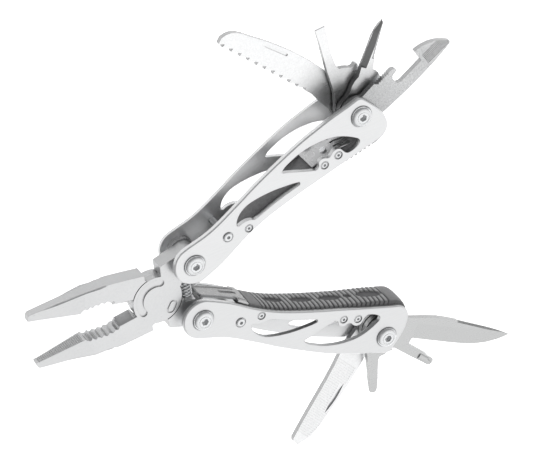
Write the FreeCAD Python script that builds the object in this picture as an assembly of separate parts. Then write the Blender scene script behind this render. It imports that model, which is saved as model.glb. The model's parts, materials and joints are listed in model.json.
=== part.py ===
import FreeCAD, Part
import os, math
from FreeCAD import Vector as V

# Folding multi tool, plier jaws sprung open, both handles swung out, eight tools fanned.
# Working frame: origin on the jaw pivot axis, +X towards the handles, +Y towards the upper
# handle, +Z out of the front plates.  Every hinge axis is parallel to Z.  At the end the
# whole assembly is lifted onto z = 0 and centred in X and Y.

# ---------------------------------------------------------------- driving dimensions (mm)
PIVOT_X, PIVOT_Y = 15.3, 12.7      # plier bolt of a handle, from the jaw pivot
HANDLE_ANG = 27.1                  # splay of each handle from +X at rest
HANDLE_LEN = 85.0                  # plier bolt to tool bolt
JAW_OPEN = 10.4                    # each jaw's opening from the closed line
CH_HALF = 6.3                      # half the channel between the side plates
PLATE_T = 2.0                      # side plate thickness
JAW_HT = 3.5                       # half thickness of the jaws and tangs
DISC_R = 10.1                      # jaw pivot disc radius
LAP_GAP = 0.04                     # gap between the two half discs
TOOL_T = 2.3                       # tool blank thickness
LAYER = {0: (3.65, 5.95), 1: (0.35, 2.65), 2: (-2.65, -0.35), 3: (-5.95, -3.65)}
P_BARREL_R, T_BARREL_R = 2.9, 2.4  # sleeve nut barrels
RUN = 0.04                         # running clearance, radial
BOLT_HEAD_R, BOLT_HEAD_H = 4.3, 1.7
HEX_AF = 2.6
RIVET_HEAD_R, RIVET_R = 1.45, 0.7
GRIP_X0, GRIP_X1 = 19.0, 91.0      # rubber grip along the handle
GRIP_PROUD = 1.6                   # how far the grip stands beyond the plates' spine edge
RIB_PITCH = 2.03

FACE = CH_HALF + PLATE_T
os.makedirs("parts", exist_ok=True)
PARTS = {}

def vec(pts, z=0.0):
    return [V(float(x), float(y), float(z)) for x, y in pts]

def poly_wire(pts, z):
    v = vec(pts, z)
    return Part.makePolygon(v + [v[0]])

def prism(pts, z0, z1):
    return Part.Face(poly_wire(pts, z0)).extrude(V(0, 0, z1 - z0))

def spline_wire(runs, z):
    # runs: list of point lists; each run is one smooth curve, consecutive runs share end points
    edges = []
    for r in runs:
        v = vec(r, z)
        if len(v) == 2:
            edges.append(Part.makeLine(v[0], v[1]))
        else:
            c = Part.BSplineCurve()
            c.interpolate(v)
            edges.append(c.toShape())
    return Part.Wire(Part.__sortEdges__(edges))

def sprism(runs, z0, z1):
    return Part.Face(spline_wire(runs, z0)).extrude(V(0, 0, z1 - z0))

def cyl(r, z0, z1, x=0.0, y=0.0):
    return Part.makeCylinder(r, z1 - z0, V(x, y, z0), V(0, 0, 1))

def box(x0, x1, y0, y1, z0, z1):
    return Part.makeBox(x1 - x0, y1 - y0, z1 - z0, V(x0, y0, z0))

def hexcut(z0, z1, x=0.0, y=0.0):
    r = HEX_AF / math.sqrt(3.0)
    return prism([(x + r * math.cos(math.radians(60 * i + 15)), y + r * math.sin(math.radians(60 * i + 15))) for i in range(6)], z0, z1)

def one(shape):
    s = shape.removeSplitter() if shape.ShapeType != "Solid" else shape
    sol = s.Solids
    if len(sol) == 1:
        return sol[0]
    return Part.makeCompound(sorted(sol, key=lambda q: -q.Volume)) if len(sol) > 1 else s

def biggest(shape):
    return sorted(shape.Solids, key=lambda q: -q.Volume)[0]

# ---------------------------------------------------------------- pliers
def wedge_taper(x0, x1, h0, h1):
    # region |z| < h(x), with h going from h0 at x0 (tip) to h1 at x1, constant beyond
    pts = [(x0 - 3, -h0), (x0, -h0), (x1, -h1), (30, -h1), (30, h1), (x1, h1), (x0, h0), (x0 - 3, h0)]
    v = [V(x, -40, z) for x, z in pts]
    return Part.Face(Part.makePolygon(v + [v[0]])).extrude(V(0, 80, 0))

def jaw(front):
    # Closed frame: closing line on -X, this jaw's body below it.  front: half disc at z > 0.
    tip_x = -52.3
    teeth = []
    n = 13
    # gripping face: fine file teeth from the tip to x = -31.5
    x = tip_x + 1.2
    teeth.append((tip_x, -0.25))
    while x < -32.2:
        teeth += [(x, -0.05), (x + 0.38, -0.42)]
        x += 0.76
    teeth.append((-31.6, -0.05))
    # concave pipe grip with coarse teeth
    wave = [(-31.0, -1.1), (-29.8, -1.9), (-28.9, -1.15), (-27.7, -2.5), (-26.7, -1.8), (-25.5, -3.0), (-24.4, -2.4),
            (-23.1, -3.5), (-22.0, -2.75), (-20.7, -3.6), (-19.4, -2.8), (-18.3, -3.3)]
    top = teeth + wave + [(-17.7, -2.6), (-17.6, -0.02), (-11.4, -0.02), (-11.2, -1.0), (-8.0, -1.0)]
    outer = [(-3.9, -5.0), (-4.2, -9.0), (-5.6, -9.6), (-5.9, -11.7), (-12, -11.4), (-19, -10.9), (-24, -10.2), (-31.5, -8.4), (-41, -5.8), (-51.4, -2.9), (-52.1, -2.3)]
    body = prism(top + outer, -JAW_HT, JAW_HT)
    body = body.common(wedge_taper(tip_x, -30.0, 1.7, JAW_HT))
    # long outer bevels, front and back, running out at x = -22
    for s in (1, -1):
        # the outer bevel is wide on the face side and narrow on the lap side
        if (s > 0) == front:
            a = [V(-54, -3.4, s * 0.9), V(-54, -1.9, s * 2.0), V(-54, -7, s * 4.0)]
        else:
            a = [V(-54, -2.6, s * 1.5), V(-54, -2.2, s * 1.9), V(-54, -7, s * 4.6)]
        b = [V(-21.5, -10.65, s * 3.1), V(-21.5, -10.1, s * 3.55), V(-21.5, -11.4, s * 4.2)]
        w0 = Part.makePolygon(a + [a[0]])
        w1 = Part.makePolygon(b + [b[0]])
        body = body.cut(Part.makeLoft([w0, w1], True, True))
    # cutter bevels: the flat block rises to a cutting edge near mid thickness
    for s, zc in ((1, -0.6), (-1, -0.6)):
        if s > 0:
            pts = [(zc + 0.1, 0.3), (zc + 0.1, -0.02), (JAW_HT + 0.1, -2.35), (JAW_HT + 0.1, 0.3)]
        else:
            pts = [(zc - 0.1, 0.3), (zc - 0.1, -0.02), (-JAW_HT - 0.1, -2.35), (-JAW_HT - 0.1, 0.3)]
        v = [V(-17.9, y, z) for z, y in pts]
        body = body.cut(Part.Face(Part.makePolygon(v + [v[0]])).extrude(V(10.8, 0, 0)))
    body = body.cut(prism([(-11.4, 1), (-11.4, -2.0), (-7, -2.0), (-7, 1)], -4, 4))
    return body

def jaw_full(front):
    j = jaw(front)
    a = math.radians(JAW_OPEN)
    j.rotate(V(0, 0, 0), V(0, 0, 1), JAW_OPEN)
    # tang, rest orientation, up-right to the plier bolt
    px, py = PIVOT_X, PIVOT_Y
    tang_pts = [(2.7, 8.0), (3.0, 14.0), (12.8, 17.05), (17.9, 16.5), (19.6, 8.9), (15.2, 5.35), (10.9, 5.0), (10.3, 2.9), (6, 1.5)]
    tang = prism(tang_pts, -JAW_HT, JAW_HT)
    tang = tang.cut(prism([(12.8, 18), (12.8, 16.0), (15.3, 12.7), (17.0, 9.2), (21, 7), (24, 18)], -5, 5))
    tang = tang.fuse(cyl(5.1, -JAW_HT, JAW_HT, px, py))
    # clearance circle of the other jaw's half disc
    other = cyl(DISC_R + 0.35, -JAW_HT - 1, LAP_GAP / 2, 0, 0)
    full = j.fuse(tang)
    full = full.cut(other)
    disc = cyl(DISC_R, LAP_GAP / 2, JAW_HT)
    full = full.fuse(disc)
    full = full.cut(cyl(P_BARREL_R + RUN, -10, 10, px, py))
    # spring seat: shallow blind pocket for the coil end
    full = full.cut(Part.makeCylinder(2.65, 5.6, V(12.9, 0, 0), V(0, 1, 0)))
    return full

front_jaw = jaw_full(True)
# rear jaw = the same forging turned over about X
rear_jaw = jaw_full(True)
rear_jaw.rotate(V(0, 0, 0), V(1, 0, 0), 180)

# front face: crescent recess and small oval recess
def arc_slot(rc, w, a0, a1, z0, z1):
    n = 18
    out = []
    A = [math.radians(a0 + (a1 - a0) * i / n) for i in range(n + 1)]
    ro, ri = rc + w / 2, rc - w / 2
    e1 = Part.Arc(V(ro * math.cos(A[0]), ro * math.sin(A[0]), z0), V(ro * math.cos(A[n // 2]), ro * math.sin(A[n // 2]), z0), V(ro * math.cos(A[-1]), ro * math.sin(A[-1]), z0)).toShape()
    e2 = Part.Arc(V(ri * math.cos(A[0]), ri * math.sin(A[0]), z0), V(ri * math.cos(A[n // 2]), ri * math.sin(A[n // 2]), z0), V(ri * math.cos(A[-1]), ri * math.sin(A[-1]), z0)).toShape()
    def cap(a, s):
        c = V(rc * math.cos(a), rc * math.sin(a), z0)
        t = V(-math.sin(a) * s * w / 2, math.cos(a) * s * w / 2, 0)
        r = V(math.cos(a) * w / 2, math.sin(a) * w / 2, 0)
        return Part.Arc(c + r, c + t, c - r).toShape()
    w_ = Part.Wire(Part.__sortEdges__([e1, e2, cap(A[0], -1), cap(A[-1], 1)]))
    return Part.Face(w_).extrude(V(0, 0, z1 - z0))

crescent = arc_slot(7.35, 2.9, 72, 210, JAW_HT - 0.55, JAW_HT + 1)
def stadium(r, hl, z0, z1):
    return cyl(r, z0, z1, 0, hl).fuse(cyl(r, z0, z1, 0, -hl)).fuse(box(-r, r, -hl, hl, z0, z1))

oval = stadium(1.6, 1.25, JAW_HT - 0.45, JAW_HT + 1).cut(stadium(1.15, 1.1, JAW_HT - 2, JAW_HT + 2))
oval.rotate(V(0, 0, 0), V(0, 0, 1), -33)
oval.translate(V(5.3, -4.9, 0))
front_jaw = front_jaw.cut(crescent).cut(oval)
PIN_R, PIN_HEAD_R = 3.0, 4.4
front_jaw = front_jaw.cut(cyl(PIN_R, -1, 2.4))
rear_jaw = rear_jaw.cut(cyl(PIN_R + RUN, -10, 10)).cut(cyl(PIN_HEAD_R + 0.1, -JAW_HT - 1, -JAW_HT + 1.1))
jaw_pin = cyl(PIN_R, -JAW_HT + 1.0, 2.4).fuse(cyl(PIN_HEAD_R, -JAW_HT, -JAW_HT + 1.0))
PARTS["front_jaw"] = one(front_jaw)
PARTS["rear_jaw"] = one(rear_jaw)
PARTS["jaw_pin"] = one(jaw_pin)

# coil spring between the tangs, axis along Y
def coil(r, wire, y0, y1, turns, x, z):
    h = Part.makeHelix((y1 - y0) / turns, y1 - y0, r)
    prof = Part.Wire(Part.makeCircle(wire, V(r, 0, 0), V(0, 1, 0)))
    s = Part.Wire(h).makePipeShell([prof], True, True)
    s.rotate(V(0, 0, 0), V(1, 0, 0), -90)
    s.translate(V(x, y0, z))
    return s

spring = coil(1.95, 0.42, -4.95, 4.95, 7.0, 12.9, 0)
PARTS["coil_spring"] = one(spring)

# ---------------------------------------------------------------- handle, local frame
# x from the plier bolt to the tool bolt, y towards the spine, z towards the front.
SPINE = [(0, 8.3), (5, 8.4), (10, 8.2), (15, 7.55), (20, 6.9), (25, 6.5), (30, 6.4), (35, 6.6), (40, 7.1), (45, 7.7), (50, 8.4), (55, 9.2),
         (60, 10.0), (65, 10.75), (70, 11.5), (75, 12.3), (80, 13.1), (84, 13.8)]
CHAN = [(87.2, -7.3), (80, -8.1), (75, -8.8), (70, -9.2), (65, -9.6), (60, -9.8), (55, -9.8), (50, -9.6), (45, -9.4), (40, -9.1), (35, -8.7), (30, -8.1),
        (25, -7.6), (20, -7.1), (15, -6.8), (10, -6.95), (5, -7.7), (0, -8.3)]
END_A = [(84, 13.8), (87.6, 13.95), (90.0, 12.8), (91.7, 10.5)]
END_B = [(91.7, 10.5), (92.4, 7.5), (92.2, 3.5), (91.3, -0.5), (90.2, -4.0), (89.2, -6.3), (87.2, -7.3)]
NOSE = [(0, -8.3), (-5.8, -5.9), (-8.3, 0), (-5.8, 5.9), (0, 8.3)]
WIN1 = [[(21.8, -0.5), (23, -2.3), (25, -3.7), (27.3, -4.5), (30, -4.75), (33, -4.3), (37, -3.2), (40, -2.1), (43, -0.8), (46, 0.75), (49, 2.4), (50.8, 3.6)],
        [(50.8, 3.6), (50.7, 4.5), (49.5, 4.75)],
        [(49.5, 4.75), (45, 4.1), (40, 3.55), (35, 3.2), (30, 3.05), (28.7, 2.9)],
        [(28.7, 2.9), (27.6, 1.8), (26.2, 0.9), (24.4, 0.35), (22.4, 0.2)],
        [(22.4, 0.2), (21.8, -0.5)]]
WIN2 = [[(47.8, -5.3), (49.5, -6.1), (53, -6.5), (57, -6.5), (60, -6.1), (64, -5.15), (68, -3.6), (71, -2.0), (74, 0.4), (76.5, 3.2), (78.8, 6.7)],
        [(78.8, 6.7), (78.8, 8.3), (77.3, 9.15)],
        [(77.3, 9.15), (75, 9.35), (73, 9.0)],
        [(73, 9.0), (71.8, 8.0), (71.35, 6.4), (70.9, 4.8), (69.4, 3.7), (67.8, 3.8), (66.2, 4.5), (65.3, 4.4), (64.4, 3.6), (63.2, 2.7), (61.7, 2.8), (60.7, 3.8)],
        [(60.7, 3.8), (60.1, 4.7), (59.1, 5.0), (58.1, 4.4)],
        [(58.1, 4.4), (54.5, 1.2), (51, -2.2), (48.2, -4.6)],
        [(48.2, -4.6), (47.8, -5.3)]]
SCREW = (16.6, 0.5)
RIVETS = [(24.8, 4.1), (62.4, 5.8), (68.9, 6.6)]

def lerp_y(pts, x):
    p = sorted(pts)
    for (x0, y0), (x1, y1) in zip(p, p[1:]):
        if x0 <= x <= x1:
            return y0 + (y1 - y0) * (x - x0) / (x1 - x0)
    return p[0][1] if x < p[0][0] else p[-1][1]

def spine_y(x):
    if x <= 84:
        return lerp_y(SPINE, x)
    return lerp_y(END_A, x)

def outline(z0, z1):
    return sprism([SPINE, END_A, END_B, CHAN, NOSE], z0, z1)

def plate(z0, z1, outer_z):
    p = outline(z0, z1)
    p = p.cut(sprism(WIN1, z0 - 1, z1 + 1)).cut(sprism(WIN2, z0 - 1, z1 + 1))
    # soft chamfer round the outer face
    try:
        es = []
        for f in p.Faces:
            bb = f.BoundBox
            if abs(bb.ZMin - outer_z) < 1e-4 and abs(bb.ZMax - outer_z) < 1e-4:
                es = [e for e in f.OuterWire.Edges]
        q = p.makeChamfer(0.45, es)
        if q.isValid() and q.Volume > 0.8 * p.Volume:
            p = q
    except Exception:
        pass
    p = p.cut(cyl(P_BARREL_R + 0.02, z0 - 1, z1 + 1)).cut(cyl(T_BARREL_R + 0.02, z0 - 1, z1 + 1, HANDLE_LEN, 0))
    p = p.cut(cyl(1.52, z0 - 1, z1 + 1, *SCREW))
    for r in RIVETS:
        p = p.cut(cyl(RIVET_HEAD_R, z0 - 1, z1 + 1, *r))
    # countersunk rings: round the rivets, under the spacer screw and round the bolt heads
    sg = 1 if outer_z > 0 else -1
    for (x, y), a, b, d in [(RIVETS[0], RIVET_HEAD_R - 0.12, 1.72, 0.9), (RIVETS[1], RIVET_HEAD_R - 0.12, 1.72, 0.9), (RIVETS[2], RIVET_HEAD_R - 0.12, 1.72, 0.9), (SCREW, 1.55, 2.15, 0.4),
                            ((0, 0), BOLT_HEAD_R - 0.2, BOLT_HEAD_R + 0.16, 0.25), ((HANDLE_LEN, 0), BOLT_HEAD_R - 0.2, BOLT_HEAD_R + 0.16, 0.25)]:
        lo, hi = sorted((outer_z - sg * d, outer_z + sg * 1.0))
        p = p.cut(cyl(b, lo, hi, x, y).cut(cyl(a, lo - 1, hi + 1, x, y)))
    return p

def dome(r, h, z, sgn, x=0.0, y=0.0):
    # low domed head standing on the plate face at z, growing along sgn
    c = cyl(r, 0, h)
    edge = [e for e in c.Edges if abs(e.BoundBox.ZMin - h) < 1e-6 and abs(e.BoundBox.ZMax - h) < 1e-6]
    c = c.makeFillet(h * 0.7, edge)
    if sgn < 0:
        c.rotate(V(0, 0, 0), V(1, 0, 0), 180)
    c.translate(V(x, y, z))
    return c

def button(r, h, flat_r, rim, z, sgn, x=0.0, y=0.0, boss=0.0):
    # button head: short vertical rim, domed shoulder, flat crown ringed by a shallow groove
    dx, dz = r - flat_r, h - rim
    R = (dx * dx + dz * dz) / (2 * dz)
    th = math.asin(min(1.0, dx / R)) / 2
    mid = V(flat_r + R * math.sin(th), 0, h - R + R * math.cos(th))
    e = [Part.makeLine(V(0, 0, -0.0), V(r, 0, 0)), Part.makeLine(V(r, 0, 0), V(r, 0, rim)),
         Part.Arc(V(r, 0, rim), mid, V(flat_r, 0, h)).toShape(), Part.makeLine(V(flat_r, 0, h), V(0, 0, h)), Part.makeLine(V(0, 0, h), V(0, 0, 0))]
    c = Part.Face(Part.Wire(e)).revolve(V(0, 0, 0), V(0, 0, 1), 360)
    if boss:
        c = c.cut(cyl(flat_r + 0.16, h - boss, h + 1).cut(cyl(flat_r - 0.12, h - boss - 1, h + 2)))
    if sgn < 0:
        c.rotate(V(0, 0, 0), V(1, 0, 0), 180)
    c.translate(V(x, y, z))
    return c

def bolt_pair(x, barrel_r):
    stud = 0.55 * barrel_r
    nut = button(BOLT_HEAD_R, BOLT_HEAD_H, 2.35, 0.3, -FACE, -1, x, 0.0, 0.14).fuse(cyl(barrel_r, -FACE, FACE - 0.4, x)).cut(cyl(stud, -FACE + 2, FACE + 1, x))
    nut = nut.cut(hexcut(-FACE - BOLT_HEAD_H - 1, -FACE - 0.3, x))
    bolt = button(BOLT_HEAD_R, BOLT_HEAD_H, 2.35, 0.3, FACE, 1, x, 0.0, 0.14).fuse(cyl(stud, -FACE + 3, FACE, x))
    bolt = bolt.cut(hexcut(FACE + 0.3, FACE + BOLT_HEAD_H + 1, x))
    return one(bolt), one(nut)

def handle_parts():
    H = {}
    H["plate_front"] = one(plate(CH_HALF, FACE, FACE))
    H["plate_back"] = one(plate(-FACE, -CH_HALF, -FACE))
    H["plier_bolt"], H["plier_nut"] = bolt_pair(0.0, P_BARREL_R)
    H["tool_bolt"], H["tool_nut"] = bolt_pair(HANDLE_LEN, T_BARREL_R)
    # spacer screw: shank through both plates with small domed heads
    s = cyl(1.5, -FACE, FACE, *SCREW).fuse(button(1.85, 0.6, 1.1, 0.1, FACE, 1, *SCREW)).fuse(button(1.85, 0.6, 1.1, 0.1, -FACE, -1, *SCREW))
    s = s.cut(prism([(SCREW[0] + 0.75 * math.cos(math.radians(60 * i)), SCREW[1] + 0.75 * math.sin(math.radians(60 * i))) for i in range(6)], FACE - 0.2, FACE + 2))
    H["spacer_screw"] = one(s)
    # frame rivets: shank in the channel, wider ends set just below the plates' faces, dimpled
    rv = []
    for x, y in RIVETS:
        r = cyl(RIVET_R, -FACE, FACE, x, y)
        for z0, z1 in ((CH_HALF, FACE - 0.25), (-FACE + 0.25, -CH_HALF)):
            r = r.fuse(cyl(RIVET_HEAD_R, z0, z1, x, y))
        r = r.common(cyl(3, -FACE + 0.25, FACE - 0.25, x, y)).fuse(button(1.25, 0.3, 0.8, 0.05, FACE - 0.26, 1, x, y)).fuse(button(1.25, 0.3, 0.8, 0.05, -FACE + 0.26, -1, x, y))
        r = r.cut(cyl(0.55, FACE - 0.7, FACE + 1, x, y)).cut(cyl(0.55, -FACE - 1, -FACE + 0.7, x, y))
        rv.append(one(r))
    H["frame_rivets"] = Part.makeCompound(rv)
    w = [cyl(5.6, JAW_HT + 0.05, CH_HALF, 0, 0).cut(cyl(P_BARREL_R + 0.02, -9, 9)), cyl(5.6, -CH_HALF, -JAW_HT - 0.05, 0, 0).cut(cyl(P_BARREL_R + 0.02, -9, 9))]
    H["plier_washers"] = Part.makeCompound([one(q) for q in w])
    zs = [(LAYER[0][1] + 0.02, CH_HALF), (LAYER[1][1] + 0.02, LAYER[0][0] - 0.02), (LAYER[2][1] + 0.02, LAYER[1][0] - 0.02), (LAYER[3][1] + 0.02, LAYER[2][0] - 0.02), (-CH_HALF, LAYER[3][0] - 0.02)]
    w = [cyl(5.2, a, b, HANDLE_LEN, 0).cut(cyl(T_BARREL_R + 0.02, -9, 9, HANDLE_LEN, 0)) for a, b in zs]
    H["tool_washers"] = Part.makeCompound([one(q) for q in w])
    return H

HP = handle_parts()

def proud(x):
    return lerp_y([(0, 1.2), (60, 1.4), (74, 2.2), (86, 2.2), (91, 1.2)], x)

def grip_inner(x):
    return spine_y(x) - (3.9 if x < 30 else 4.4)

def grip():
    xs = [GRIP_X0 + i * 3.0 for i in range(23)]
    xs = [x for x in xs if x < 83] + [84.0]
    outer = [(x, spine_y(x) + proud(x)) for x in xs]
    inner = [(x, grip_inner(x)) for x in reversed(xs)]
    cap = [(84.0, 13.8 + proud(84)), (87.6, 15.9), (90.3, 14.4), (91.9, 11.6), (91.9, 10.8)]
    runs = [outer, cap, [(91.9, 10.8), (88.5, 9.4), (84.0, grip_inner(84.0))], inner, [inner[-1], outer[0]]]
    half = CH_HALF - 0.05
    g = sprism(runs, -half, half)
    # soften the two long outer edges and the end cap
    g0 = g
    try:
        es = []
        for e in g.Edges:
            bb = e.BoundBox
            if bb.ZLength < 1e-4 and abs(abs(bb.ZMin) - half) < 1e-4 and bb.YMax > 9.0 and bb.XLength > 3 and abs(e.CenterOfMass.y - grip_inner(min(84.0, e.CenterOfMass.x))) > 3.5:
                es.append(e)
        q = g.makeFillet(0.8, es)
        if q.isValid() and q.Volume > 0.9 * g.Volume:
            g = q
    except Exception:
        g = g0
    # grooves between the ribs, slightly diagonal
    x = GRIP_X0 + 5.6
    cuts = []
    while x < 82.0:
        y = spine_y(x) + proud(x)
        t = box(-0.42, 0.42, -0.6, 3.0, -9, 9)
        t.rotate(V(0, 0, 0), V(0, 1, 0), -4.0)
        t.rotate(V(0, 0, 0), V(0, 0, 1), math.degrees(math.atan2(spine_y(x + 1) - spine_y(x - 1), 2.0)))
        t.translate(V(x, y, 0))
        cuts.append(t)
        x += RIB_PITCH
    g = g.cut(Part.makeCompound(cuts))
    # pocket for the tool spring on the channel side
    g = g.cut(prism([(57.8, 1.0)] + [(57.8, leaf_y(58.2) + LEAF_T)] + [(x, y + LEAF_T) for x, y in LEAF] + [(80.3, leaf_y(79.6) + LEAF_T + 0.3), (80.3, 1.0)], -6.0, 6.0))
    for r in RIVETS:
        g = g.cut(cyl(RIVET_R + 0.02, -9, 9, *r))
    g = g.cut(Part.makeCylinder(0.8, 3.4, V(LEAF_RIV_X, leaf_y(LEAF_RIV_X) - 1, LEAF_RIV_Z), V(0, 1, 0)))
    return biggest(g)

LEAF_T = 0.5
LEAF_RIV_X = 66.0
STRIP_W = 4.0

LEAF = [(58.2, 4.05), (62.4, 4.53), (68.9, 5.35), (71.2, 5.85), (76.0, 8.05), (79.6, 8.95)]
LEAF_RIV_Z = 1.6

def leaf_y(x):
    return lerp_y(LEAF, x)

def leaf():
    # flat root lying on the frame rivets, four fingers rising to the tool bases
    pts = LEAF + [(x, y + LEAF_T) for x, y in reversed(LEAF)]
    s = prism(pts, -5.9, 5.9)
    for z in (-3.15, 0.0, 3.15):
        s = s.cut(box(69.8, 85, 0, 15, z - 0.5, z + 0.5))
    for z in (-5.9, 5.9):
        s = s.cut(box(69.8, 85, 0, 15, z - 0.25, z + 0.25))
    s = s.cut(Part.makeCylinder(0.8, 9, V(LEAF_RIV_X, 1, LEAF_RIV_Z), V(0, 1, 0)))
    return one(s)

def back_strip():
    # sprung steel strip closing the spine at the plier end, its tail tucked under the grip
    top = [(-2.2, 8.5), (6, 8.95), (13, 9.1), (17.5, 8.75), (19.2, 7.9), (22.5, 7.1)]
    bot = [(22.5, 6.0), (19.2, 6.8), (17.0, 7.6), (13, 8.05), (6, 7.95), (-2.2, 7.6)]
    s = prism(top + bot, -STRIP_W, STRIP_W)
    # long pressed recess and two upturned edges
    s = s.cut(prism([(8.2, 10), (8.2, 8.5), (15.2, 8.45), (15.2, 10)], -0.95, 0.95).fuse(Part.makeCylinder(0.95, 2, V(8.2, 8.5, 0), V(0, 1, 0))))
    for z in (STRIP_W - 0.75, -STRIP_W + 0.05):
        s = s.fuse(prism([(-2.0, 8.0), (-2.0, 8.8), (6, 9.3), (13, 9.45), (15.5, 9.2), (15.5, 8.3)], z, z + 0.7))
    # side lug reaching the front plate
    s = s.fuse(prism([(13.6, 8.2), (13.6, 8.85), (17.6, 8.45), (18.6, 8.0), (18.6, 7.3)], 0.0, CH_HALF - 0.05))
    s = s.fuse(prism([(14.6, 8.2), (14.6, 8.75), (17.6, 8.45), (18.6, 8.0), (18.6, 7.3)], -CH_HALF + 0.05, 0.0))
    return one(s)

g_full = grip()
strip = back_strip()
g_full = biggest(g_full.cut(strip))
HP["grip"] = g_full
HP["back_strip"] = strip
lf = leaf()
HP["tool_spring"] = lf
y_ = leaf_y(LEAF_RIV_X)
rv = Part.makeCylinder(0.78, 2.5, V(LEAF_RIV_X, y_ - 0.35, LEAF_RIV_Z), V(0, 1, 0)).fuse(Part.makeCylinder(1.3, 0.45, V(LEAF_RIV_X, y_ - 0.63, LEAF_RIV_Z), V(0, 1, 0)))
HP["spring_rivet"] = one(rv)

# ---------------------------------------------------------------- tools
# drawn round the tool bolt, x along the handle, y towards the open side of the channel
def blade(poly, layer, base_r=6.9, extra=None):
    z0, z1 = LAYER[layer]
    s = prism(poly, z0, z1).fuse(cyl(base_r, z0, z1))
    if extra is not None:
        s = extra(s, z0, z1)
    return one(s.cut(cyl(T_BARREL_R + RUN, -10, 10)))

OPENER = [(0, -6.6), (8.5, -7.2), (15, -7.1), (20, -6.9), (25, -6.6), (30, -6.1), (35, -5.6), (40, -4.7), (44.2, -3.9), (44.9, -2.9), (43.5, -1.2), (41.7, 0.6), (40, 1.9), (38, 3.0),
          (35, 4.0), (33, 4.3), (31.6, 4.3), (31.6, -0.9), (20.4, -2.0), (19.2, -1.5), (18.5, 0.0), (18.5, 1.6), (19.2, 2.7), (20.6, 3.1), (21.9, 3.4), (21.6, 4.5), (20.4, 5.2), (12.5, 4.6), (11.6, 5.7), (5.5, 4.9), (0, 5.5)]
AWL = [(-1, 6.4), (3, 8.0), (5, 9.5), (7, 10.3), (9, 10.6), (12, 13.0), (15, 15.0), (18, 16.9), (20, 18.3), (22.5, 20.1), (25, 21.3), (27.3, 22.0), (29.6, 22.4), (29.2, 21.5), (26, 18.7),
       (22, 15.4), (18.2, 12.0), (16.6, 10.4), (15.3, 9.0), (15.2, 7.6), (16.0, 6.3), (15.8, 4.0), (12.0, 1.0), (6, -2.5)]
SCREWD = [(-5.0, 4.5), (-1.9, 10.1), (-0.9, 13.1), (0.3, 17.1), (1.0, 19.6), (3.6, 27.1), (5.1, 31.1), (7.0, 37.4), (11.1, 36.0), (6.9, 26.2), (6.0, 23.0), (5.2, 19.5), (5.4, 17.4), (7.1, 16.3),
          (8.3, 15.2), (9.1, 14.3), (10.1, 13.9), (11.4, 14.4), (12.1, 13.4), (11.2, 10.5), (8.5, 5.5), (6.2, 1.0)]
SAWK = 0.97
SAW_L = [(-24.6, 62.2), (-22.9, 60.2), (-24.4, 59.9), (-21.4, 56.1), (-22.9, 55.7), (-20.0, 51.9), (-21.4, 51.5), (-18.6, 47.8), (-20.0, 47.4), (-17.1, 43.6), (-18.6, 43.2), (-15.7, 39.5), (-17.1, 39.1),
         (-14.2, 35.3), (-15.7, 34.9), (-12.9, 31.2), (-14.3, 30.8), (-11.5, 27.0), (-12.9, 26.6), (-10.2, 23.0), (-11.5, 22.7), (-8.8, 19.2), (-9.8, 18.7), (-8.6, 15.0), (-8.2, 10.0), (-6.9, 3.0)]
SAW_R = [(5.6, 4.0), (3.5, 12.0), (0.9, 20.0), (-0.8, 26.5), (-2.5, 31.5), (-4.2, 36.2), (-6.2, 40.8), (-8.2, 45.2), (-10.2, 49.2), (-12.1, 52.6), (-13.6, 55.4), (-15.0, 58.2), (-16.6, 60.6), (-18.2, 62.1), (-20.2, 63.0), (-22.4, 63.3)]
SAW = [(x * SAWK, y * SAWK) for x, y in SAW_L + SAW_R]
KNIFE = [(0, -6.8), (9.4, -8.2), (13, -8.6), (18, -9.2), (23, -9.5), (28, -9.3), (33, -8.9), (38, -8.3), (45, -7.5), (50.9, -6.8), (55.9, -5.9), (60.9, -4.8), (58.5, -3.2), (55.9, -1.9), (51, -0.1), (46, 0.9), (41, 1.35),
         (35, 1.45), (28, 1.3), (18, 1.1), (13.8, 1.0), (13.4, 3.5), (9, 5.5), (4, 6.2)]
PHIL = [(3, -5.8), (10.5, -2.2), (13.5, 2.4), (15.6, 4.9), (20, 6.5), (30, 10.1), (32.2, 12.6), (31.2, 14.3), (20, 10.8), (10, 7.3), (5.5, 6.6), (0, 6.5)]
SDRV = [(-5.5, 3.5), (0.5, 13.3), (2, 16.3), (4.5, 21.3), (6.5, 25.8), (8.3, 29.6), (9.0, 30.4), (10.8, 30.2), (11.4, 29.3), (11.2, 27.8), (9.5, 23.3), (8, 19.3), (6.6, 15.0), (6.6, 13.4), (7.2, 12.9), (8.8, 11.9),
        (9.3, 10.9), (10.5, 10.4), (11.4, 9.8), (9.5, 5.5), (6.3, 0.5)]
FILE_ = [(-6.3, 3.0), (-9.3, 11.0), (-10.1, 14.8), (-10.8, 20.8), (-12.1, 27.8), (-13.8, 35.8), (-15.8, 44.8), (-17.8, 55.2), (-17.3, 56.7), (-14.4, 58.8), (-13.3, 58.8), (-9.9, 54.2), (-7.8, 48.8), (-5.8, 43.3),
         (-3.3, 35.8), (-0.8, 27.8), (1, 20.8), (2.2, 15.0), (5.0, 6.0), (6.0, 2.0)]

def opener_x(s, z0, z1):
    # serrated thumb pad and file lines on the tip's front face
    for i in range(6):
        s = s.cut(box(12.9 + i * 1.0, 13.25 + i * 1.0, 4.25 + 0.08 * i, 6.5, z0 - 1, z1 + 1))
    for i in range(7):
        t = box(33, 48, -0.14, 0.14, z1 - 0.22, z1 + 1)
        t.rotate(V(33, 0, 0), V(0, 0, 1), 4)
        t.translate(V(0, -3.9 + i * 0.75, 0))
        s = s.cut(t)
    return s

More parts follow.
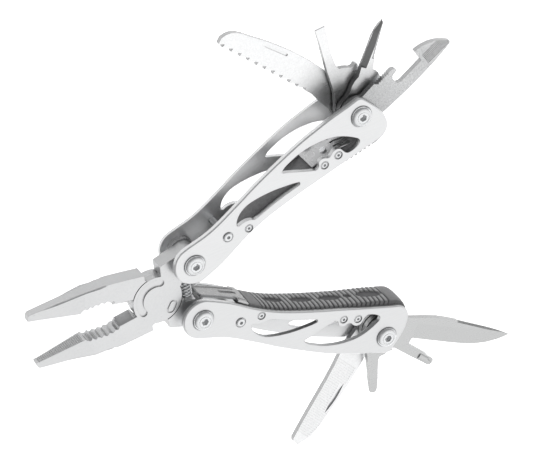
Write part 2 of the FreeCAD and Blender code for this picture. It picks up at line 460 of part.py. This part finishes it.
def groove(s, x0, y0, x1, y1, w, z1, d=0.45):
    L = math.hypot(x1 - x0, y1 - y0)
    a = math.degrees(math.atan2(y1 - y0, x1 - x0))
    t = box(0, L, -w / 2, w / 2, z1 - d, z1 + 1).fuse(cyl(w / 2, z1 - d, z1 + 1)).fuse(cyl(w / 2, z1 - d, z1 + 1, L, 0))
    t.rotate(V(0, 0, 0), V(0, 0, 1), a)
    t.translate(V(x0, y0, 0))
    return s.cut(t)

def saw_x(s, z0, z1):
    return groove(s, -10.6, 45.6, -6.6, 36.2, 1.0, z1)

def wedge_cut(s, ax, ay, bx, by, z0, z1, run, t_edge, sides=(1, -1)):
    # thin the blank towards the line a-b: full thickness at distance run inside, t_edge at the line
    L = math.hypot(bx - ax, by - ay)
    ang = math.degrees(math.atan2(by - ay, bx - ax))
    zm, h = (z0 + z1) / 2, (z1 - z0) / 2
    for sd in sides:
        if len(sides) == 2:
            e = t_edge / 2
            pts = [(-0.6, e), (0, e), (run, h), (run, h + 1), (-0.6, h + 1)]
            tri = [V(0, y, zm + sd * z) for y, z in pts]
        else:
            tri = [V(0, y, zm + sd * z) for y, z in [(-0.6, t_edge - h), (0, t_edge - h), (run, h), (run, h + 1), (-0.6, h + 1)]]
        f = Part.Face(Part.makePolygon(tri + [tri[0]]))
        t = f.extrude(V(L, 0, 0))
        t.rotate(V(0, 0, 0), V(0, 0, 1), ang)
        t.translate(V(ax, ay, 0))
        s = s.cut(t)
    return s

def knife_x(s, z0, z1):
    # flat primary grind from the belly; run is measured from the cutting edge towards the back
    pts = [(14.2, 1.05), (35, 1.5), (46, 0.95), (51.5, -0.2), (56.4, -2.1), (61.2, -4.9)]
    for (ax, ay), (bx, by) in zip(pts, pts[1:]):
        s = wedge_cut(s, bx, by, ax, ay, z0, z1, 7.2, 0.35)
    # swedge along the back towards the point
    for (ax, ay), (bx, by) in (((33.0, -8.95), (45.0, -7.55)), ((45.0, -7.55), (55.9, -5.95)), ((55.9, -5.95), (61.0, -4.75))):
        s = wedge_cut(s, ax, ay, bx, by, z0, z1, 0.75, 0.5)
    return s

def awl_x(s, z0, z1):
    s = wedge_cut(s, 18.2, 12.0, 29.6, 21.9, z0, z1, 1.3, 0.5)
    # wide hollow on the back of the hook
    for (ax, ay), (bx, by) in (((29.9, 22.5), (24.5, 21.1)), ((24.5, 21.1), (12.2, 13.1))):
        s = wedge_cut(s, ax, ay, bx, by, z0, z1, 2.2, 0.7, sides=(1,))
    return s

def screwd_x(s, z0, z1):
    # tip ground down to a flat blade on both faces
    return wedge_cut(s, 14.4, 34.9, 3.7, 38.7, z0, z1, 9.0, 0.9)

def sdrv_x(s, z0, z1):
    return wedge_cut(s, 14.6, 29.3, 5.0, 31.7, z0, z1, 7.5, 0.7)

def phil_x(s, z0, z1):
    # round cross point on the end of the flat shank, with four flutes
    ax, ay, bx, by = 9.5, 5.0, 31.9, 13.2
    ang = math.degrees(math.atan2(by - ay, bx - ax))
    L = math.hypot(bx - ax, by - ay)
    R = 1.75
    prof = [V(L - 9.5, 0, 0), V(L - 9.5, R, 0), V(L - 2.2, R, 0), V(L - 0.3, 0.75, 0), V(L, 0.55, 0), V(L, 0, 0)]
    tip = Part.Face(Part.makePolygon(prof + [prof[0]])).revolve(V(0, 0, 0), V(1, 0, 0), 360)
    q = []
    for k in (-1, 1):
        for m in (-1, 1):
            t = box(0, 9, 0.42, 3, 0.42, 3)
            t.rotate(V(0, 0, 0), V(0, 1, 0), 6)
            t.rotate(V(0, 0, 0), V(0, 0, 1), -6)
            t.translate(V(L - 5.0, 0, 0))
            if m < 0: t = t.mirror(V(0, 0, 0), V(0, 0, 1))
            if k < 0: t = t.mirror(V(0, 0, 0), V(0, 1, 0))
            q.append(t)
    tip = tip.cut(Part.makeCompound(q))
    tip.translate(V(0, 0, (z0 + z1) / 2))
    end = box(L - 4.6, L + 5, -6, 6, -9, 9)
    # shoulders either side of the cross point
    sh = prism([(L - 7.6, 1.72), (L - 4.4, 1.72), (L - 4.4, 4)], -9, 9).fuse(prism([(L - 7.6, -1.72), (L - 4.4, -1.72), (L - 4.4, -4)], -9, 9))
    for t in (tip, end, sh):
        t.rotate(V(0, 0, 0), V(0, 0, 1), ang)
        t.translate(V(ax, ay, 0))
    return s.cut(end).cut(sh).fuse(tip)

def file_x(s, z0, z1):
    # long lens-shaped thumb recess and the chisel facet at the end
    ax, ay, bx, by = -3.4, 28.6, -7.4, 42.6
    n = 12
    L_, nx, ny = math.hypot(bx - ax, by - ay), -(by - ay), (bx - ax)
    lens = []
    for sd in (1, -1):
        for i in range(n):
            t_ = i / n if sd > 0 else 1 - i / n
            w_ = 0.85 * math.sin(math.pi * t_) * sd
            lens.append((ax + (bx - ax) * t_ + nx / L_ * w_, ay + (by - ay) * t_ + ny / L_ * w_))
    s = s.cut(prism(lens, z1 - 0.7, z1 + 1))
    s = wedge_cut(s, -8.0, 57.0, -20.0, 60.0, z0, z1, 3.6, 0.7, sides=(1,))
    # cross cuts of the file face
    cuts = []
    y = 17.5
    while y < 55:
        t = box(-30, 12, -0.13, 0.13, z1 - 0.15, z1 + 1)
        t.rotate(V(0, 0, 0), V(0, 0, 1), 24)
        t.translate(V(0, y + 4.0, 0))
        cuts.append(t)
        y += 1.1
    keep = prism([(-11.5, 15.5), (-17.2, 52.5), (-11.5, 54.0), (-7.4, 47.5), (-4.9, 42.0), (-8.3, 42.0), (-5.6, 28.8), (-2.6, 28.8), (-0.8, 22.0), (0.4, 18.0)], z1 - 1, z1 + 1)
    return s.cut(Part.makeCompound(cuts).common(keep))

UP = {"opener": blade(OPENER, 0, 6.9, opener_x), "hook_blade": blade(AWL, 1, 6.9, awl_x), "screwdriver": blade(SCREWD, 2, 6.9, screwd_x), "saw": blade(SAW, 3, 6.9, saw_x)}
LO = {"knife": blade(KNIFE, 0, 6.9, knife_x), "phillips_driver": blade(PHIL, 1, 6.9, phil_x), "small_screwdriver": blade(SDRV, 2, 6.9, sdrv_x), "file": blade(FILE_, 3, 6.9, file_x)}

# ---------------------------------------------------------------- place the handles
def to_upper(s):
    # local y (towards the spine) becomes the side facing the other handle
    q = s.mirror(V(0, 0, 0), V(0, 1, 0))
    q.rotate(V(0, 0, 0), V(0, 0, 1), HANDLE_ANG)
    q.translate(V(PIVOT_X, PIVOT_Y, 0))
    return q

def to_lower(s):
    q = s.copy()
    q.rotate(V(0, 0, 0), V(0, 0, 1), -HANDLE_ANG)
    q.translate(V(PIVOT_X, -PIVOT_Y, 0))
    return q

def tool_upper(s):
    q = s.copy()
    q.translate(V(HANDLE_LEN, 0, 0))
    q.rotate(V(0, 0, 0), V(0, 0, 1), HANDLE_ANG)
    q.translate(V(PIVOT_X, PIVOT_Y, 0))
    return q

def tool_lower(s):
    q = s.mirror(V(0, 0, 0), V(0, 1, 0))
    q.translate(V(HANDLE_LEN, 0, 0))
    q.rotate(V(0, 0, 0), V(0, 0, 1), -HANDLE_ANG)
    q.translate(V(PIVOT_X, -PIVOT_Y, 0))
    return q

for k, s in HP.items():
    PARTS["upper_" + k] = to_upper(s)
    PARTS["lower_" + k] = to_lower(s)
for k, s in UP.items():
    PARTS[k] = tool_upper(s)
for k, s in LO.items():
    PARTS[k] = tool_lower(s)

# ---------------------------------------------------------------- settle on z = 0, centre in X and Y
bb = None
for s in PARTS.values():
    b = s.optimalBoundingBox(True)
    if bb is None:
        bb = FreeCAD.BoundBox(b)
    else:
        bb.add(b)
OFF = V(-(bb.XMin + bb.XMax) / 2, -(bb.YMin + bb.YMax) / 2, -bb.ZMin)
print("offset", OFF.x, OFF.y, OFF.z, "size", bb.XLength, bb.YLength, bb.ZLength)
for k, s in PARTS.items():
    s.translate(OFF)
    if not s.isValid():
        print("INVALID", k)
    n = len(s.Solids)
    print(k, n, round(s.Volume, 1))
    s.exportStep("parts/" + k + ".step")
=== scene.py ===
import bpy, math, json
from mathutils import Vector, Matrix


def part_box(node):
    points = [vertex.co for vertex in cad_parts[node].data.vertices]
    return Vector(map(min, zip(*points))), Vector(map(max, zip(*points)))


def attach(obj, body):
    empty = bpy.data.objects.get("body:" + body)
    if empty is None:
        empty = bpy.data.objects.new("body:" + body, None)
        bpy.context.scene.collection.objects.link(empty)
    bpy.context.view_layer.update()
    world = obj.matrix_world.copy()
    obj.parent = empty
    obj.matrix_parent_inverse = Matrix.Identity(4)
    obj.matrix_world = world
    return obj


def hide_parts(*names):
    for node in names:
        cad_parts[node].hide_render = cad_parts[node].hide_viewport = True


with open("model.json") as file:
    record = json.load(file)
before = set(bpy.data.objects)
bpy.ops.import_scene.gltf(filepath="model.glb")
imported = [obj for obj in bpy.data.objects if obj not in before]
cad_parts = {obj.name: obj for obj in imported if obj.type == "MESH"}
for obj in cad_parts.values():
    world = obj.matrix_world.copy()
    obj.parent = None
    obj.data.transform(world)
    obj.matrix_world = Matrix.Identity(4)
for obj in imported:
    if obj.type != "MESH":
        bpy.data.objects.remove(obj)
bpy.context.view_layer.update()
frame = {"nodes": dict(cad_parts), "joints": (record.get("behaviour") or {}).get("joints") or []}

NODES = frame["nodes"]
K = 0.001

# ------------------------------------------------------------------ frame of the design, in mm
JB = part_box("front_jaw")
def joint_pos(name):
    for j in frame["joints"]:
        if j["name"] == name:
            return Vector(j["pos_m"]) * 1000.0
O = joint_pos("jaw_pivot")                    # jaw pivot, mid thickness
UP_P, LO_P = joint_pos("upper_handle_fold"), joint_pos("lower_handle_fold")
ANG = 27.1

def hpt(x, ys, z, side):
    """Handle point: x along the handle, ys towards the spine, z from mid thickness."""
    y = -ys * side
    a = math.radians(ANG) * side
    p = UP_P if side > 0 else LO_P
    return Vector((p.x + x * math.cos(a) - y * math.sin(a), p.y + x * math.sin(a) + y * math.cos(a), O.z + z)) * K

# ------------------------------------------------------------------ materials
def mat(name):
    m = bpy.data.materials.new(name)
    m.use_nodes = True
    nt = m.node_tree
    b = nt.nodes["Principled BSDF"]
    return m, nt, b

def coords(nt, scale, rot=(0, 0, 0)):
    tc = nt.nodes.new("ShaderNodeTexCoord")
    mp = nt.nodes.new("ShaderNodeMapping")
    mp.inputs["Scale"].default_value = scale
    mp.inputs["Rotation"].default_value = rot
    nt.links.new(tc.outputs["Object"], mp.inputs["Vector"])
    return mp.outputs["Vector"]

def noise(nt, vec, scale, detail=4.0, rough=0.55):
    n = nt.nodes.new("ShaderNodeTexNoise")
    n.inputs["Scale"].default_value = scale
    n.inputs["Detail"].default_value = detail
    n.inputs["Roughness"].default_value = rough
    nt.links.new(vec, n.inputs["Vector"])
    return n.outputs["Fac"]

def ramp(nt, fac, stops):
    r = nt.nodes.new("ShaderNodeValToRGB")
    e = r.color_ramp.elements
    while len(e) > 1:
        e.remove(e[-1])
    e[0].position, e[0].color = stops[0][0], (*stops[0][1], 1)
    for p, c in stops[1:]:
        q = e.new(p)
        q.color = (*c, 1)
    nt.links.new(fac, r.inputs["Fac"])
    return r.outputs["Color"]

def grey(v):
    return (v, v, v * 1.004)

def steel(name, base, rough, rot=0.0, brush=(1, 14, 6), bump=0.02, bevel=0.00012, metal=1.0, spread=0.035, rspread=0.06, side=0.6, tilt=(0.25, 0.62), pivot_shade=None):
    m, nt, b = mat(name)
    v = coords(nt, tuple(s * 60.0 for s in brush), (0, 0, math.radians(rot)))
    f = noise(nt, v, 3.0, 6.0, 0.6)
    v2 = coords(nt, (30, 30, 30))
    f2 = noise(nt, v2, 1.4, 3.0)
    mix = nt.nodes.new("ShaderNodeMath"); mix.operation = "MULTIPLY_ADD"
    nt.links.new(f2, mix.inputs[0]); mix.inputs[1].default_value = 0.45
    nt.links.new(f, mix.inputs[2])
    col = ramp(nt, mix.outputs[0], [(0.35, tuple(c - spread for c in base)), (1.05, tuple(min(1.0, c + spread) for c in base))])
    # painted shade: steep faces (small |normal z|) get a darker base colour, standing in for the dimmer reflection the
    # side walls catch
    bv = nt.nodes.new("ShaderNodeBevel"); bv.samples = 6
    bv.inputs["Radius"].default_value = bevel
    sp = nt.nodes.new("ShaderNodeSeparateXYZ")
    nt.links.new(bv.outputs["Normal"], sp.inputs[0])
    ab = nt.nodes.new("ShaderNodeMath"); ab.operation = "ABSOLUTE"
    nt.links.new(sp.outputs["Z"], ab.inputs[0])
    painted_side_shade = nt.nodes.new("ShaderNodeMapRange")
    painted_side_shade.inputs["From Min"].default_value = tilt[0]; painted_side_shade.inputs["From Max"].default_value = tilt[1]
    painted_side_shade.inputs["To Min"].default_value = side; painted_side_shade.inputs["To Max"].default_value = 1.0
    nt.links.new(ab.outputs[0], painted_side_shade.inputs["Value"])
    mul = nt.nodes.new("ShaderNodeVectorMath"); mul.operation = "SCALE"
    scale = painted_side_shade.outputs["Result"]
    if pivot_shade is not None:
        # painted shade round the tool pivot, darkening the blade bases where the neighbouring tools shade them: (point
        # in metres, inner radius, outer radius, darkest factor)
        tc = nt.nodes.new("ShaderNodeTexCoord")
        sb = nt.nodes.new("ShaderNodeVectorMath"); sb.operation = "DISTANCE"
        nt.links.new(tc.outputs["Object"], sb.inputs[0]); sb.inputs[1].default_value = pivot_shade[0]
        pivot_shade_ramp = nt.nodes.new("ShaderNodeMapRange"); pivot_shade_ramp.interpolation_type = "SMOOTHSTEP"
        pivot_shade_ramp.inputs["From Min"].default_value = pivot_shade[1]; pivot_shade_ramp.inputs["From Max"].default_value = pivot_shade[2]
        pivot_shade_ramp.inputs["To Min"].default_value = pivot_shade[3]; pivot_shade_ramp.inputs["To Max"].default_value = 1.0
        nt.links.new(sb.outputs["Value"], pivot_shade_ramp.inputs["Value"])
        # random speckle in the base colour, multiplied in together with the painted pivot shade
        v3 = coords(nt, (1, 1, 1))
        f3 = noise(nt, v3, 1500.0, 3.0)
        spk = nt.nodes.new("ShaderNodeMapRange")
        spk.inputs["From Min"].default_value = 0.35; spk.inputs["From Max"].default_value = 0.65
        spk.inputs["To Min"].default_value = 0.95; spk.inputs["To Max"].default_value = 1.03
        nt.links.new(f3, spk.inputs["Value"])
        m1 = nt.nodes.new("ShaderNodeMath"); m1.operation = "MULTIPLY"
        nt.links.new(pivot_shade_ramp.outputs["Result"], m1.inputs[0]); nt.links.new(spk.outputs["Result"], m1.inputs[1])
        m2 = nt.nodes.new("ShaderNodeMath"); m2.operation = "MULTIPLY"
        nt.links.new(scale, m2.inputs[0]); nt.links.new(m1.outputs[0], m2.inputs[1])
        scale = m2.outputs[0]
    nt.links.new(col, mul.inputs[0]); nt.links.new(scale, mul.inputs["Scale"])
    nt.links.new(mul.outputs["Vector"], b.inputs["Base Color"])
    rr = nt.nodes.new("ShaderNodeMapRange")
    rr.inputs["From Min"].default_value = 0.3; rr.inputs["From Max"].default_value = 0.7
    rr.inputs["To Min"].default_value = rough - rspread; rr.inputs["To Max"].default_value = rough + rspread
    nt.links.new(f, rr.inputs["Value"])
    nt.links.new(rr.outputs["Result"], b.inputs["Roughness"])
    b.inputs["Metallic"].default_value = metal
    bp = nt.nodes.new("ShaderNodeBump")
    bp.inputs["Strength"].default_value = bump
    bp.inputs["Distance"].default_value = 0.0001
    nt.links.new(f, bp.inputs["Height"])
    nt.links.new(bv.outputs["Normal"], bp.inputs["Normal"])
    nt.links.new(bp.outputs["Normal"], b.inputs["Normal"])
    return m

UT, LT = hpt(85.0, 0, 0, 1), hpt(85.0, 0, 0, -1)      # tool bolts
# painted light: the upper plates get a lighter copy of the same plate steel than the lower plates
M_PLATE = steel("plate_satin", (0.77, 0.775, 0.78), 0.36, 0, bevel=0.0003, side=0.66)
M_PLATE_U = steel("plate_satin_upper_painted_lighter", (0.81, 0.815, 0.82), 0.36, 0, bevel=0.0003, side=0.66)
M_PLIER = steel("plier_satin", (0.72, 0.725, 0.73), 0.33, 20, brush=(6, 6, 6), bevel=0.0002, side=0.50, tilt=(0.2, 0.75), spread=0.04)
# painted light and shade: the knife, Phillips and small screwdriver get a darker grey copy of the blade steel and the
# screwdriver and saw a light one, standing in for how much bright light each set reflects
M_BLADE_L = steel("blade_painted_darker", (0.60, 0.605, 0.605), 0.30, -60, bevel=0.0001, spread=0.015, side=0.55, tilt=(0.5, 0.9))
M_BLADE_U = steel("blade_painted_lighter", (0.95, 0.955, 0.96), 0.32, 40, bevel=0.0001, spread=0.015, side=0.36, tilt=(0.3, 0.8), pivot_shade=(UT, 0.008, 0.030, 0.58))
M_HOOK = steel("blade_hook", (0.93, 0.935, 0.94), 0.32, 40, bevel=0.0001, side=0.26, tilt=(0.80, 0.97), pivot_shade=(UT, 0.008, 0.026, 0.58))
M_FILE = steel("blade_file", (0.93, 0.935, 0.94), 0.32, -60, brush=(2, 9, 2), bevel=0.0001, spread=0.015, side=0.36, tilt=(0.3, 0.8), pivot_shade=(LT, 0.006, 0.022, 0.75))
M_OPENER = steel("blade_opener", (0.60, 0.605, 0.61), 0.30, 27, brush=(9, 9, 9), bevel=0.0001, spread=0.20, side=0.5, tilt=(0.3, 0.8), pivot_shade=(UT, 0.008, 0.024, 0.80))
M_SPRING = steel("spring_steel", (0.50, 0.50, 0.505), 0.30, 0, bevel=0.0001, side=0.8, spread=0.02)
M_STRIP = steel("strip_steel", (0.62, 0.62, 0.625), 0.30, -27, bevel=0.0002, side=0.42, tilt=(0.2, 0.9), spread=0.02)
# painted shade: a copy of plier_satin for the rear jaw that differs only in its painted side shade factor
M_REAR = steel("plier_satin_rear", (0.72, 0.725, 0.73), 0.33, 20, brush=(6, 6, 6), bevel=0.0002, side=0.52, tilt=(0.2, 0.75), spread=0.04)
M_BOLT = steel("bolt_polished", (0.80, 0.81, 0.82), 0.16, 0, brush=(3, 3, 3), bump=0.004, bevel=0.00018, rspread=0.03)
M_PIN = steel("pin_steel", (0.80, 0.81, 0.82), 0.22, 0, brush=(3, 3, 3), bevel=0.0002)
M_COIL = steel("coil_steel", (0.70, 0.71, 0.72), 0.20, 0, bevel=0.0)

def rubber():
    m, nt, b = mat("grip_rubber")
    v = coords(nt, (1, 1, 1))
    f = noise(nt, v, 900.0, 5.0, 0.6)
    lowc = ramp(nt, f, [(0.3, (0.040, 0.040, 0.042)), (0.7, (0.062, 0.062, 0.065))])
    highc = ramp(nt, f, [(0.3, (0.24, 0.24, 0.243)), (0.7, (0.33, 0.33, 0.333))])
    # the crown attribute mixes dark rubber (painted shade in the rib grooves and recessed pads) with light grey
    # (painted highlight on the rib crowns)
    at = nt.nodes.new("ShaderNodeAttribute"); at.attribute_name = "crown"
    mx = nt.nodes.new("ShaderNodeMix"); mx.data_type = "RGBA"
    nt.links.new(at.outputs["Fac"], mx.inputs[0])
    nt.links.new(lowc, mx.inputs[6]); nt.links.new(highc, mx.inputs[7])
    nt.links.new(mx.outputs[2], b.inputs["Base Color"])
    rr = nt.nodes.new("ShaderNodeMapRange")
    rr.inputs["To Min"].default_value = 0.48; rr.inputs["To Max"].default_value = 0.66
    nt.links.new(f, rr.inputs["Value"]); nt.links.new(rr.outputs["Result"], b.inputs["Roughness"])
    bp = nt.nodes.new("ShaderNodeBump"); bp.inputs["Strength"].default_value = 0.25; bp.inputs["Distance"].default_value = 0.00008
    nt.links.new(f, bp.inputs["Height"]); nt.links.new(bp.outputs["Normal"], b.inputs["Normal"])
    return m
M_RUBBER = rubber()

def paint(obj, m, slotname=None):
    if len(obj.material_slots) == 0:
        obj.data.materials.append(m)
    for s in obj.material_slots:
        s.material = m

for n, o in NODES.items():
    if "plate_" in n: paint(o, M_PLATE_U if n.startswith("upper") else M_PLATE)
    elif n == "front_jaw": paint(o, M_PLIER)
    elif n == "rear_jaw": paint(o, M_REAR)
    elif n.endswith("back_strip"): paint(o, M_STRIP)
    elif n.endswith(("plier_bolt", "plier_nut", "tool_bolt", "tool_nut", "spacer_screw")): paint(o, M_BOLT)
    elif n.endswith(("frame_rivets", "jaw_pin", "spring_rivet")): paint(o, M_PIN)
    elif n.endswith(("washers", "tool_spring")): paint(o, M_SPRING)
    elif n == "coil_spring": paint(o, M_COIL)
    elif n == "opener": paint(o, M_OPENER)
    elif n == "hook_blade": paint(o, M_HOOK)
    elif n == "file": paint(o, M_FILE)
    elif n in ("screwdriver", "saw"): paint(o, M_BLADE_U)
    elif n in ("knife", "phillips_driver", "small_screwdriver"): paint(o, M_BLADE_L)
    else: paint(o, M_RUBBER)

# ------------------------------------------------------------------ mesh helper
def mesh(name, verts, faces, m, smooth=True):
    me = bpy.data.meshes.new(name)
    me.from_pydata([tuple(v) for v in verts], [], faces)
    me.materials.append(m)
    me.update()
    if smooth:
        for p in me.polygons:
            p.use_smooth = True
    o = bpy.data.objects.new(name, me)
    bpy.context.scene.collection.objects.link(o)
    return o

# ------------------------------------------------------------------ rubber grips: ribbed crown, smooth pads, end cap
SPINE = [(0, 8.3), (5, 8.4), (10, 8.2), (15, 7.55), (20, 6.9), (25, 6.5), (30, 6.4), (35, 6.6), (40, 7.1), (45, 7.7), (50, 8.4), (55, 9.2),
         (60, 10.0), (65, 10.75), (70, 11.5), (75, 12.3), (80, 13.1), (84, 13.8), (87.6, 13.95), (90.0, 12.8), (91.7, 10.5)]
PROUD = [(0, 1.2), (60, 1.4), (74, 2.2), (86, 2.2), (90, 1.4), (91.9, 0.3)]
def lerp(pts, x):
    if x <= pts[0][0]: return pts[0][1]
    for (x0, y0), (x1, y1) in zip(pts, pts[1:]):
        if x <= x1: return y0 + (y1 - y0) * (x - x0) / (x1 - x0)
    return pts[-1][1]
def smooth_spine(x):
    return sum(lerp(SPINE, x + d) for d in (-1.5, -0.75, 0, 0.75, 1.5)) / 5
PADS = [(32.4, 4.6, 1.9), (45.2, 5.0, 2.1), (57.9, 4.9, 2.1), (65.8, 1.9, 1.3), (75.2, 5.6, 2.6)]   # centre x, half length, half width
PITCH, TANR = 2.03, -0.07
def sstep(a, b, x):
    t = max(0.0, min(1.0, (x - a) / (b - a)))
    return t * t * (3 - 2 * t)
def crown(x, z):
    y = smooth_spine(x) + lerp(PROUD, x)
    e = abs(z) / 6.2
    y -= 0.55 * e ** 4                                     # rounded along the edges
    t = (x + TANR * z) / PITCH
    ph = (t - math.floor(t)) * 2 - 1                        # -1..1 across one rib
    rib = -0.62 * sstep(0.42, 0.95, abs(ph))
    fade = sstep(24.0, 24.8, x + TANR * z) * (1 - sstep(81.4, 82.2, x))
    pad = 0.0
    for cx, hl, hw in PADS:
        d = math.hypot((x + TANR * z - cx) / hl, z / hw)
        pad = max(pad, 1 - sstep(0.90, 1.06, d))
    y += rib * fade * (1 - pad) - 0.75 * pad
    # painted highlight on the rib crowns, painted shade in the rib grooves and the recessed pads; the unribbed ends sit
    # at a middle value
    lit_crown = (1 - sstep(0.42, 0.85, abs(ph))) * fade * (1 - pad) * (1 - sstep(0.85, 1.0, abs(z) / 6.2) * 0.4)
    plain = (1 - fade) * 0.50
    return y, max(lit_crown, plain)
def grip(side, name):
    nx, nz = 860, 40
    X0, X1 = 19.0, 91.6
    verts, faces, lit_crown = [], [], []
    zs = [-6.2 + 12.4 * j / nz for j in range(nz + 1)]
    for i in range(nx + 1):
        x = X0 + (X1 - X0) * i / nx
        inner = smooth_spine(min(x, 84.0)) - (3.9 if x < 30 else 3.9 + 0.5 * sstep(30, 32, x))
        if x > 84: inner = inner + (x - 84) * 0.12
        row = []
        for z in zs:
            y, lit_crown_val = crown(x, z)
            if i == 0: y -= 0.5
            row.append(max(y, inner + 0.5))
            lit_crown.append(lit_crown_val)
        lit_crown += [0.4, 0.4]
        for y, z in zip(row, zs):
            verts.append(hpt(x, y, z, side))
        for z in (6.2, -6.2):
            verts.append(hpt(x, inner, z, side))
    w = nz + 3
    for i in range(nx):
        a, b = i * w, (i + 1) * w
        for j in range(nz):
            faces.append((a + j, a + j + 1, b + j + 1, b + j))
        faces.append((a + nz, a + nz + 1, b + nz + 1, b + nz))
        faces.append((a + nz + 1, a + nz + 2, b + nz + 2, b + nz + 1))
        faces.append((a + nz + 2, a, b, b + nz + 2))
    faces.append(tuple(range(0, w)))
    faces.append(tuple(reversed(range(nx * w, nx * w + w))))
    if side > 0:
        faces = [tuple(reversed(f)) for f in faces]
    o = mesh(name, verts, faces, M_RUBBER)
    at = o.data.attributes.new("crown", "FLOAT", "POINT")
    at.data.foreach_set("value", lit_crown)
    return o
for side, pre in ((1, "upper"), (-1, "lower")):
    g = grip(side, pre + "_grip_ribbed")
    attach(g, pre + "_handle")
    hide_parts(pre + "_grip")

# ------------------------------------------------------------------ stage, lights, camera
WORLD_LOW = 0.30
def plane(name, size, z, m):
    me = bpy.data.meshes.new(name)
    s = size / 2
    me.from_pydata([(-s, -s, z), (s, -s, z), (s, s, z), (-s, s, z)], [], [(0, 1, 2, 3)])
    me.materials.append(m)
    o = bpy.data.objects.new(name, me)
    bpy.context.scene.collection.objects.link(o)
    return o
mf, ntf, bf = mat("floor_pale")
vf = coords(ntf, (1, 1, 1))
nf = noise(ntf, vf, 3.0, 2.0)
ntf.links.new(ramp(ntf, nf, [(0.3, (0.93, 0.93, 0.93)), (0.7, (0.95, 0.95, 0.95))]), bf.inputs["Base Color"])
bf.inputs["Roughness"].default_value = 0.9
bf.inputs["Emission Color"].default_value = (1, 1, 1, 1)
bf.inputs["Emission Strength"].default_value = 0.85
floor = plane("floor", 6.0, -0.0002, mf)

w = bpy.data.worlds.new("studio")
bpy.context.scene.world = w
w.use_nodes = True
nt = w.node_tree
bg = nt.nodes["Background"]
tc = nt.nodes.new("ShaderNodeTexCoord")
dot = nt.nodes.new("ShaderNodeVectorMath"); dot.operation = "DOT_PRODUCT"
nt.links.new(tc.outputs["Generated"], dot.inputs[0])
dot.inputs[1].default_value = Vector((0.30, -0.50, 0.80)).normalized()
cr = nt.nodes.new("ShaderNodeValToRGB")
cr.color_ramp.interpolation = "EASE"
e = cr.color_ramp.elements
e[0].position, e[0].color = 0.10, (WORLD_LOW, WORLD_LOW, WORLD_LOW * 1.01, 1)
e[1].position, e[1].color = 0.86, (1.0, 1.0, 1.0, 1)
nt.links.new(dot.outputs["Value"], cr.inputs["Fac"])
nt.links.new(cr.outputs["Color"], bg.inputs["Color"])
bg.inputs["Strength"].default_value = 1.0

def area(name, loc, target, size, power, col=(1, 1, 1)):
    l = bpy.data.lights.new(name, "AREA")
    l.shape = "RECTANGLE"
    l.size, l.size_y = size
    l.energy = power
    l.color = col
    o = bpy.data.objects.new(name, l)
    o.location = loc
    o.rotation_euler = (Vector(target) - Vector(loc)).to_track_quat("-Z", "Y").to_euler()
    bpy.context.scene.collection.objects.link(o)
    return o
area("key", (0.25, -0.26, 0.66), (0.02, 0.05, 0), (0.45, 0.45), 0.05)
area("fill", (-0.9, 0.5, 0.9), (0, 0, 0), (0.5, 0.5), 0.12)

r = Vector((0.8966, -0.1168, 0.4272)); up = Vector((0.3212, 0.8356, -0.4456)); t = Vector((-0.3049, 0.5367, 0.7867))
C0 = Vector((O.x + 49.18, O.y + 9.56, O.z)) * K
cam = bpy.data.cameras.new("cam")
cam.lens = 180.45
cam.sensor_width = 36.0
cam.clip_start, cam.clip_end = 0.01, 20.0
co = bpy.data.objects.new("cam", cam)
loc = C0 + t * 1.0325
co.matrix_world = Matrix(((r.x, up.x, t.x, loc.x), (r.y, up.y, t.y, loc.y), (r.z, up.z, t.z, loc.z), (0, 0, 0, 1)))
bpy.context.scene.collection.objects.link(co)
bpy.context.scene.camera = co
vs = bpy.context.scene.view_settings
vs.view_transform = "Standard"
vs.look = "None"
vs.exposure = 0.0
